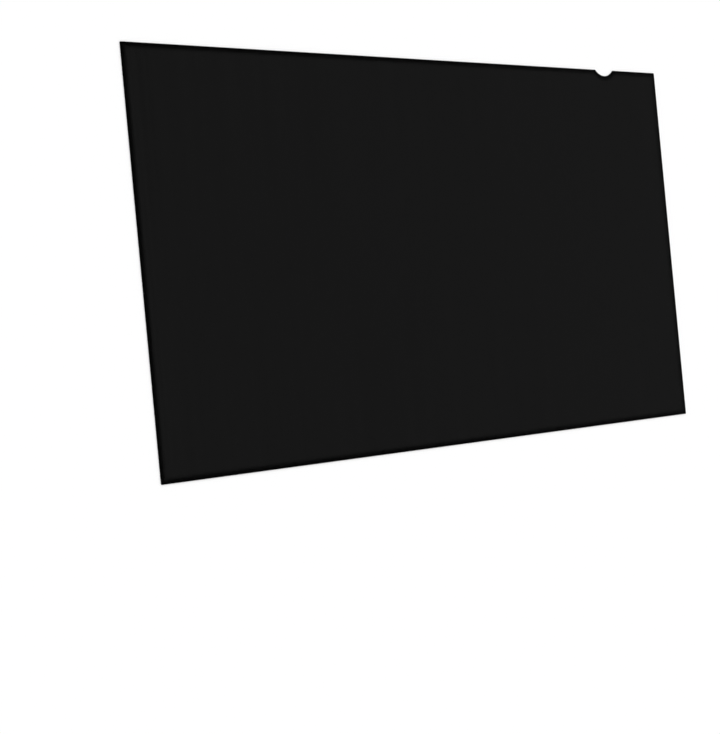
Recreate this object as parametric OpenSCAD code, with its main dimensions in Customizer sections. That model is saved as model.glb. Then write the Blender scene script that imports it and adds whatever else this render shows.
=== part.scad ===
// Monitor privacy filter: one die-cut sheet of dark, see-through louvre film for a wide screen.
// The sheet lies on its back face, with its front face up. +X runs to the right along the screen
// and +Y to its top edge. The origin is the middle of the back face.

/* [Sheet] */
// Width of the sheet, along the screen
sheet_w = 531; // [300:1:900]
// Height of the sheet
sheet_h = 299; // [150:1:560]
// Thickness of the film
sheet_t = 0.5; // [0.2:0.05:2]
// Radius of the four corners
corner_r = 0.8; // [0.3:0.1:12]

/* [Finger notch] */
// Width of the notch between its shoulders, before they are rounded
notch_w = 21; // [16:0.5:40]
// Depth of the notch below the top edge
notch_d = 5; // [2:0.25:8]
// Distance from the right edge to the middle of the notch
notch_side = 63; // [40:0.5:240]
// Rounding of the notch's two shoulders
shoulder_r = 1.075; // [0.3:0.025:3]

/* [Hidden] */
$fn = 96;

// The edges of the sheet
right_x = sheet_w / 2;
top_y = sheet_h / 2;

// The arc of the notch has its middle above the top edge
notch_r = (pow(notch_w / 2, 2) + pow(notch_d, 2)) / (2 * notch_d);
notch_x = right_x - notch_side;
notch_y = top_y - notch_d + notch_r;

// A shoulder's arc meets the top edge and the arc of the notch without a corner. With the sizes
// above, its middle lies exactly 11 mm beside the notch's, so no rounding error parts the arcs.
shoulder_y = top_y - shoulder_r;
shoulder_dx = sqrt(pow(notch_r + shoulder_r, 2) - pow(notch_y - shoulder_y, 2));

// A rectangle about the origin with four round corners
module rounded_rectangle(w, h, r) {
    square([w - 2 * r, h], center = true);
    square([w, h - 2 * r], center = true);
    for (x = [-1, 1], y = [-1, 1])
        translate([x * (w / 2 - r), y * (h / 2 - r)]) circle(r = r);
}

// What the rounding takes off one shoulder: side is -1 for the left one and 1 for the right one
module shoulder_waste(side) {
    shoulder = [notch_x + side * shoulder_dx, shoulder_y];
    difference() {
        polygon([shoulder, [shoulder.x, top_y + shoulder_r], [notch_x, notch_y]]);
        translate(shoulder) circle(r = shoulder_r);
    }
}

// The outline that the die cuts
module sheet_outline() {
    difference() {
        rounded_rectangle(sheet_w, sheet_h, corner_r);
        translate([notch_x, notch_y]) circle(r = notch_r);
        for (side = [-1, 1]) shoulder_waste(side);
    }
}

// The whole filter is this one sheet
module filter_sheet() {
    color([0.1, 0.1, 0.1, 0.9])
        linear_extrude(height = sheet_t) sheet_outline();
}

filter_sheet();
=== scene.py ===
from math import pi, radians

import bpy
from mathutils import Matrix, Vector


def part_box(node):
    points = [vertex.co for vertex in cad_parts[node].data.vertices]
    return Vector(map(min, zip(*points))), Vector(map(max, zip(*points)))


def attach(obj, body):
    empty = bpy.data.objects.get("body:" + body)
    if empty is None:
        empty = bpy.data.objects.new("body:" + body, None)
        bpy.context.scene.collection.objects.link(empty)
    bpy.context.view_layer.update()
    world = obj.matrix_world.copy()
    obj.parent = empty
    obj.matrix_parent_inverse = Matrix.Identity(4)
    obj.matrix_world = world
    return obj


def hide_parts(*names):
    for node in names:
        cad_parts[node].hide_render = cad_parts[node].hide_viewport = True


# Lengths are in metres. Angles are in degrees here and in radians inside the film's node tree.

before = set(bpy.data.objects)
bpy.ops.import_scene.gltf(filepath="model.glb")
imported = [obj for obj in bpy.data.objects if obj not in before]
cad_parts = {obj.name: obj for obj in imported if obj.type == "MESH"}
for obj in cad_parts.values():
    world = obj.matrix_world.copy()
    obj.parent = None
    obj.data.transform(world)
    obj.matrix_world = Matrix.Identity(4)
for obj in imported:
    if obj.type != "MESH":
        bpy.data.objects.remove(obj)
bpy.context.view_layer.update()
sheetLow, sheetHigh = (Vector(corner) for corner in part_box("filter_sheet"))
sheetSize = sheetHigh - sheetLow
sheetMiddle = (sheetLow + sheetHigh) / 2
print("frame loaded, sheet of", [round(side * 1000, 2) for side in sheetSize], "mm")


# Camera. The sheet lies flat, and the camera looks down on it and is turned on its side,
# so that the sheet stands in the picture as it does in the photo.
photoCamera = dict(
    aim=(-0.0885, -0.0829),  # where the line of sight meets the sheet
    distance=1.1766,
    azimuth=-89.70,
    elevation=52.263,
    roll=84.382,
    lens=78.16,  # mm
    sensor=36,  # mm
)


def placeCamera(plan):
    data = bpy.data.cameras.new("photoCamera")
    data.lens = plan["lens"]
    data.sensor_width = plan["sensor"]
    camera = bpy.data.objects.new("photoCamera", data)
    bpy.context.collection.objects.link(camera)
    turn = (
        Matrix.Rotation(radians(plan["azimuth"]), 4, "Z")
        @ Matrix.Rotation(radians(90 - plan["elevation"]), 4, "X")
        @ Matrix.Rotation(radians(plan["roll"]), 4, "Z")
    )
    aim = Vector((*plan["aim"], sheetHigh.z))
    back = turn @ Vector((0, 0, plan["distance"]))
    camera.matrix_world = Matrix.Translation(aim + back) @ turn
    bpy.context.scene.camera = camera


placeCamera(photoCamera)
print("camera placed")


# Small helpers for both kinds of node tree. A value that is a socket is linked, and any other
# value is set on the input itself.
def addNode(tree, kind, values=None, **settings):
    node = tree.nodes.new(kind)
    for name, setting in settings.items():
        setattr(node, name, setting)
    for key, value in (values or {}).items():
        if isinstance(value, bpy.types.NodeSocket):
            tree.links.new(value, node.inputs[key])
        else:
            node.inputs[key].default_value = value
    return node


def calc(tree, operation, *terms):
    return addNode(tree, "ShaderNodeMath", dict(enumerate(terms)), operation=operation).outputs[0]


# The film: one die-cut sheet, near-black and hardly see-through. Its finish has the faint upright
# streaks that its louvres leave, a fine matt grain and a darker line along the cut edges.
privacyFilm = dict(
    sizes={  # the inputs of its node tree
        "Width": sheetSize.x,
        "Height": sheetSize.y,
        "Thickness": sheetSize.z,
        "Corner Radius": 0.0008,
        "Notch Width": 0.021,  # before its shoulders are rounded
        "Notch Depth": 0.005,
        "Notch Side": 0.063,  # from the right edge to the middle of the notch
        "Shoulder Radius": 0.001075,
    },
    cornerPoints=9,
    shoulderPoints=9,
    notchPoints=49,
    sameSpot=0.000005,  # points closer than this are one
    edgeBreak=0.00005,  # the rounding that the die leaves on the cut edges
    edgeSteps=2,
    sharpAngle=50,  # only edges that turn more than this are rounded
    darkColour=(0.007, 0.007, 0.007),
    lightColour=(0.0088, 0.0088, 0.0088),
    rimColour=(0.0003, 0.0003, 0.0003),
    rimFade=(0.0008, 0.0055),  # from the edge: the line is at its darkest, then gone
    solidness=0.905,  # alpha of one face; the two together let 0.9 % of the light through
    shine=0.012,  # plain plastic has 0.5, but this film mirrors next to nothing
    roughness=(0.32, 0.46),  # at the sheet's smoothest and its roughest
    streakWidth=0.0024,
    streakLength=0.4,
    streakDetail=3,
    streakBreakup=0.6,  # how much of the finer detail shows
    streakRange=(0.3, 0.7),  # the noise values where the streaks are darkest and lightest
    cloudSize=0.09,
    cloudShare=0.35,  # of the roughness pattern; the streaks have the rest
    grainSize=0.0022,
    grainShare=0.5,  # of the relief; the streaks have the rest
    softDetail=2,  # of the noise in the clouds and the grain
    reliefHeight=0.00012,
)


def outlineArcs(tree, plan, sizes):
    # seven arcs, anticlockwise round the sheet, worked out from the tree's inputs
    right = calc(tree, "MULTIPLY", sizes["Width"], 0.5)
    top = calc(tree, "MULTIPLY", sizes["Height"], 0.5)
    corner = sizes["Corner Radius"]
    cornerRight = calc(tree, "SUBTRACT", right, corner)
    cornerTop = calc(tree, "SUBTRACT", top, corner)
    cornerLeft = calc(tree, "MULTIPLY", cornerRight, -1)
    cornerBottom = calc(tree, "MULTIPLY", cornerTop, -1)

    # the notch is an arc through its floor and both ends of its width
    depth = sizes["Notch Depth"]
    halfWidth = calc(tree, "MULTIPLY", sizes["Notch Width"], 0.5)
    perDepth = calc(tree, "DIVIDE", calc(tree, "MULTIPLY", halfWidth, halfWidth), depth)
    notchRadius = calc(tree, "MULTIPLY", calc(tree, "ADD", perDepth, depth), 0.5)
    notchX = calc(tree, "SUBTRACT", right, sizes["Notch Side"])
    notchY = calc(tree, "ADD", top, calc(tree, "SUBTRACT", notchRadius, depth))

    # each shoulder is an arc that touches the top edge and the arc of the notch
    shoulder = sizes["Shoulder Radius"]
    shoulderY = calc(tree, "SUBTRACT", top, shoulder)
    reach = calc(tree, "ADD", notchRadius, shoulder)
    climb = calc(tree, "SUBTRACT", notchY, shoulderY)
    slope = calc(tree, "ARCSINE", calc(tree, "DIVIDE", climb, reach))
    spread = calc(tree, "MULTIPLY", calc(tree, "COSINE", slope), reach)
    shoulderRight = calc(tree, "ADD", notchX, spread)
    shoulderLeft = calc(tree, "SUBTRACT", notchX, spread)
    shoulderTurn = calc(tree, "SUBTRACT", pi / 2, slope)
    notchStart = calc(tree, "MULTIPLY", slope, -1)
    notchTurn = calc(tree, "SUBTRACT", calc(tree, "MULTIPLY", slope, 2), pi)

    cornerPoints = plan["cornerPoints"]
    shoulderPoints = plan["shoulderPoints"]
    notchPoints = plan["notchPoints"]
    # middle x, middle y, radius, start, turn, points
    return [
        (cornerLeft, cornerBottom, corner, pi, pi / 2, cornerPoints),
        (cornerRight, cornerBottom, corner, -pi / 2, pi / 2, cornerPoints),
        (cornerRight, cornerTop, corner, 0, pi / 2, cornerPoints),
        (shoulderRight, shoulderY, shoulder, pi / 2, shoulderTurn, shoulderPoints),
        (notchX, notchY, notchRadius, notchStart, notchTurn, notchPoints),
        (shoulderLeft, shoulderY, shoulder, slope, shoulderTurn, shoulderPoints),
        (cornerLeft, cornerTop, corner, pi / 2, pi / 2, cornerPoints),
    ]


def closedOutline(tree, arcs):
    # the arcs end to end, with a straight line from each to the next
    joined = addNode(tree, "GeometryNodeJoinGeometry")
    for middleX, middleY, radius, start, turn, points in reversed(arcs):  # last linked, first joined
        arc = addNode(tree, "GeometryNodeCurveArc", {
            "Resolution": points, "Radius": radius, "Start Angle": start, "Sweep Angle": turn})
        middle = addNode(tree, "ShaderNodeCombineXYZ", {"X": middleX, "Y": middleY})
        placed = addNode(tree, "GeometryNodeTransform", {
            "Geometry": arc.outputs["Curve"], "Translation": middle.outputs[0]})
        tree.links.new(placed.outputs[0], joined.inputs[0])
    dots = addNode(tree, "GeometryNodeCurveToPoints", {0: joined.outputs[0]}, mode="EVALUATED")
    line = addNode(tree, "GeometryNodePointsToCurves", {"Points": dots.outputs[0]})
    ring = addNode(tree, "GeometryNodeSetSplineCyclic", {0: line.outputs[0], "Cyclic": True})
    return ring.outputs[0]


def closedSheet(tree, plan, outline, thickness):
    # the front face and the walls are drawn up out of the back face, which is turned to face down
    back = addNode(tree, "GeometryNodeFillCurve", {0: outline}, mode="NGONS")
    front = addNode(tree, "GeometryNodeExtrudeMesh", {
        "Mesh": back.outputs[0], "Offset": (0, 0, 1), "Offset Scale": thickness,
        "Individual": False})
    turned = addNode(tree, "GeometryNodeFlipFaces", {0: back.outputs[0]})
    both = addNode(tree, "GeometryNodeJoinGeometry", {0: front.outputs["Mesh"]})
    tree.links.new(turned.outputs[0], both.inputs[0])
    closed = addNode(tree, "GeometryNodeMergeByDistance", {
        "Geometry": both.outputs[0], "Distance": plan["sameSpot"]})
    return closed.outputs[0]


def filmTree(plan, material):
    tree = bpy.data.node_groups.new("dieCutFilm", "GeometryNodeTree")
    for name, size in plan["sizes"].items():
        socket = tree.interface.new_socket(name, in_out="INPUT", socket_type="NodeSocketFloat")
        socket.default_value = size
        socket.subtype = "DISTANCE"
    tree.interface.new_socket("Film", in_out="OUTPUT", socket_type="NodeSocketGeometry")
    sizes = addNode(tree, "NodeGroupInput").outputs
    outline = closedOutline(tree, outlineArcs(tree, plan, sizes))
    sheet = closedSheet(tree, plan, outline, sizes["Thickness"])
    real = addNode(tree, "GeometryNodeRealizeInstances", {0: sheet})
    coated = addNode(tree, "GeometryNodeSetMaterial", {
        "Geometry": real.outputs[0], "Material": material})
    addNode(tree, "NodeGroupOutput", {0: coated.outputs[0]})
    return tree


def setSize(modifier, name, size):
    items = modifier.node_group.interface.items_tree
    socket = next(item for item in items if item.name == name and item.in_out == "INPUT")
    modifier[socket.identifier] = size


def makeFilm(plan, material):
    piece = bpy.data.objects.new("privacyFilm", bpy.data.meshes.new("privacyFilm"))
    bpy.context.collection.objects.link(piece)
    shape = piece.modifiers.new("dieCut", "NODES")
    shape.node_group = filmTree(plan, material)
    for name, size in plan["sizes"].items():
        setSize(shape, name, size)
    edge = piece.modifiers.new("edgeBreak", "BEVEL")
    edge.width = plan["edgeBreak"]
    edge.segments = plan["edgeSteps"]
    edge.limit_method = "ANGLE"
    edge.angle_limit = radians(plan["sharpAngle"])
    graph = bpy.context.evaluated_depsgraph_get()
    mesh = bpy.data.meshes.new_from_object(piece.evaluated_get(graph), depsgraph=graph)
    piece.modifiers.clear()
    piece.data = mesh
    mesh.transform(Matrix.Translation((sheetMiddle.x, sheetMiddle.y, sheetLow.z)))
    return piece


def filmPatterns(tree, plan, point):
    # streaks along Y, which are sized by their mapping, then clouds and grain
    stretched = addNode(tree, "ShaderNodeMapping", {
        "Vector": point, "Scale": (1 / plan["streakWidth"], 1 / plan["streakLength"], 1)})
    streaks = addNode(tree, "ShaderNodeTexNoise", {
        "Vector": stretched.outputs[0], "Scale": 1,
        "Detail": plan["streakDetail"], "Roughness": plan["streakBreakup"]})
    clouds = addNode(tree, "ShaderNodeTexNoise", {
        "Vector": point, "Scale": 1 / plan["cloudSize"], "Detail": plan["softDetail"]})
    grain = addNode(tree, "ShaderNodeTexNoise", {
        "Vector": point, "Scale": 1 / plan["grainSize"], "Detail": plan["softDetail"]})
    return streaks.outputs["Fac"], clouds.outputs["Fac"], grain.outputs["Fac"]


def edgeDistance(tree, sizes, point):
    # how far a point is from the nearest edge, the notch included; the origin is the sheet's middle
    right, top = sizes["Width"] / 2, sizes["Height"] / 2
    place = addNode(tree, "ShaderNodeSeparateXYZ", {0: point})
    fromSide = calc(tree, "SUBTRACT", right, calc(tree, "ABSOLUTE", place.outputs[0]))
    fromTop = calc(tree, "SUBTRACT", top, calc(tree, "ABSOLUTE", place.outputs[1]))
    depth = sizes["Notch Depth"]
    radius = ((sizes["Notch Width"] / 2) ** 2 / depth + depth) / 2
    middle = Vector((right - sizes["Notch Side"], top - depth + radius, 0))
    flat = addNode(tree, "ShaderNodeVectorMath", {0: point, 1: (1, 1, 0)}, operation="MULTIPLY")
    away = addNode(tree, "ShaderNodeVectorMath", {0: flat.outputs[0], 1: middle},
                   operation="DISTANCE")
    fromNotch = calc(tree, "SUBTRACT", away.outputs["Value"], radius)
    return calc(tree, "MINIMUM", calc(tree, "MINIMUM", fromSide, fromTop), fromNotch)


def filmFinish(plan):
    material = bpy.data.materials.new("louvreFilm")
    material.use_nodes = True
    tree = material.node_tree
    tree.nodes.clear()
    point = addNode(tree, "ShaderNodeTexCoord").outputs["Object"]
    streaks, clouds, grain = filmPatterns(tree, plan, point)

    darkest, lightest = plan["streakRange"]
    contrast = addNode(tree, "ShaderNodeMapRange", {
        "Value": streaks, "From Min": darkest, "From Max": lightest}).outputs[0]
    field = addNode(tree, "ShaderNodeMix", {
        0: contrast, 6: (*plan["darkColour"], 1), 7: (*plan["lightColour"], 1)},
        data_type="RGBA")
    rimStart, rimEnd = plan["rimFade"]
    inside = addNode(tree, "ShaderNodeMapRange", {
        "Value": edgeDistance(tree, plan["sizes"], point),
        "From Min": rimStart, "From Max": rimEnd},
        interpolation_type="SMOOTHSTEP")
    colour = addNode(tree, "ShaderNodeMix", {
        0: inside.outputs[0], 6: (*plan["rimColour"], 1), 7: field.outputs[2]}, data_type="RGBA")

    patches = addNode(tree, "ShaderNodeMix", {0: plan["cloudShare"], 2: contrast, 3: clouds})
    smooth, rough = plan["roughness"]
    roughness = addNode(tree, "ShaderNodeMapRange", {
        "Value": patches.outputs[0], "To Min": smooth, "To Max": rough})
    height = addNode(tree, "ShaderNodeMix", {0: plan["grainShare"], 2: streaks, 3: grain})
    relief = addNode(tree, "ShaderNodeBump", {
        "Height": height.outputs[0], "Distance": plan["reliefHeight"]})

    surface = addNode(tree, "ShaderNodeBsdfPrincipled", {
        "Base Color": colour.outputs[2],
        "Roughness": roughness.outputs[0],
        "Normal": relief.outputs[0],
        "Alpha": plan["solidness"],
        "Specular IOR Level": plan["shine"]})
    addNode(tree, "ShaderNodeOutputMaterial", {"Surface": surface.outputs[0]})
    return material


film = makeFilm(privacyFilm, filmFinish(privacyFilm))
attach(film, "root")
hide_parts("filter_sheet")
print("film made,", len(film.data.polygons), "faces")


# Studio: a white floor, even light from all round and one broad soft sun
studio = dict(
    floorSide=60,
    floorDrop=0.0002,  # keeps the floor clear of the sheet's back face
    floorColour=(0.97, 0.97, 0.97),
    skyColour=(1, 1, 1),
    skyLight=0.78,  # strength that lights the sheet and the floor
    skySeen=1,  # strength that the camera and the reflections see
    sunStrength=1,
    sunWidth=50,
    sunPlace=(-0.9, 1.3, 2.1),  # the direction that it shines from
)


def makeFloor(plan):
    half = plan["floorSide"] / 2
    mesh = bpy.data.meshes.new("studioFloor")
    corners = [(-half, -half), (half, -half), (half, half), (-half, half)]
    mesh.from_pydata([(x, y, -plan["floorDrop"]) for x, y in corners], [], [(0, 1, 2, 3)])
    floor = bpy.data.objects.new("studioFloor", mesh)
    bpy.context.collection.objects.link(floor)
    material = bpy.data.materials.new("studioFloor")
    material.use_nodes = True
    tree = material.node_tree
    tree.nodes.clear()
    paint = addNode(tree, "ShaderNodeBsdfDiffuse", {"Color": (*plan["floorColour"], 1)})
    addNode(tree, "ShaderNodeOutputMaterial", {"Surface": paint.outputs[0]})
    mesh.materials.append(material)


def makeSky(plan):
    world = bpy.data.worlds.new("studio")
    world.use_nodes = True
    tree = world.node_tree
    tree.nodes.clear()
    rays = addNode(tree, "ShaderNodeLightPath").outputs
    mirrored = calc(tree, "MAXIMUM", rays["Is Glossy Ray"], rays["Is Transmission Ray"])
    seen = calc(tree, "MAXIMUM", rays["Is Camera Ray"], mirrored)
    strength = addNode(tree, "ShaderNodeMapRange", {
        "Value": seen, "To Min": plan["skyLight"], "To Max": plan["skySeen"]})
    sky = addNode(tree, "ShaderNodeBackground", {
        "Color": (*plan["skyColour"], 1), "Strength": strength.outputs[0]})
    addNode(tree, "ShaderNodeOutputWorld", {"Surface": sky.outputs[0]})
    bpy.context.scene.world = world


def makeSun(plan):
    data = bpy.data.lights.new("softSun", "SUN")
    data.energy = plan["sunStrength"]
    data.angle = radians(plan["sunWidth"])
    sun = bpy.data.objects.new("softSun", data)
    bpy.context.collection.objects.link(sun)
    sun.rotation_euler = (-Vector(plan["sunPlace"])).to_track_quat("-Z", "Y").to_euler()


makeFloor(studio)
makeSky(studio)
makeSun(studio)
bpy.context.scene.view_settings.view_transform = "Standard"
print("studio lit")
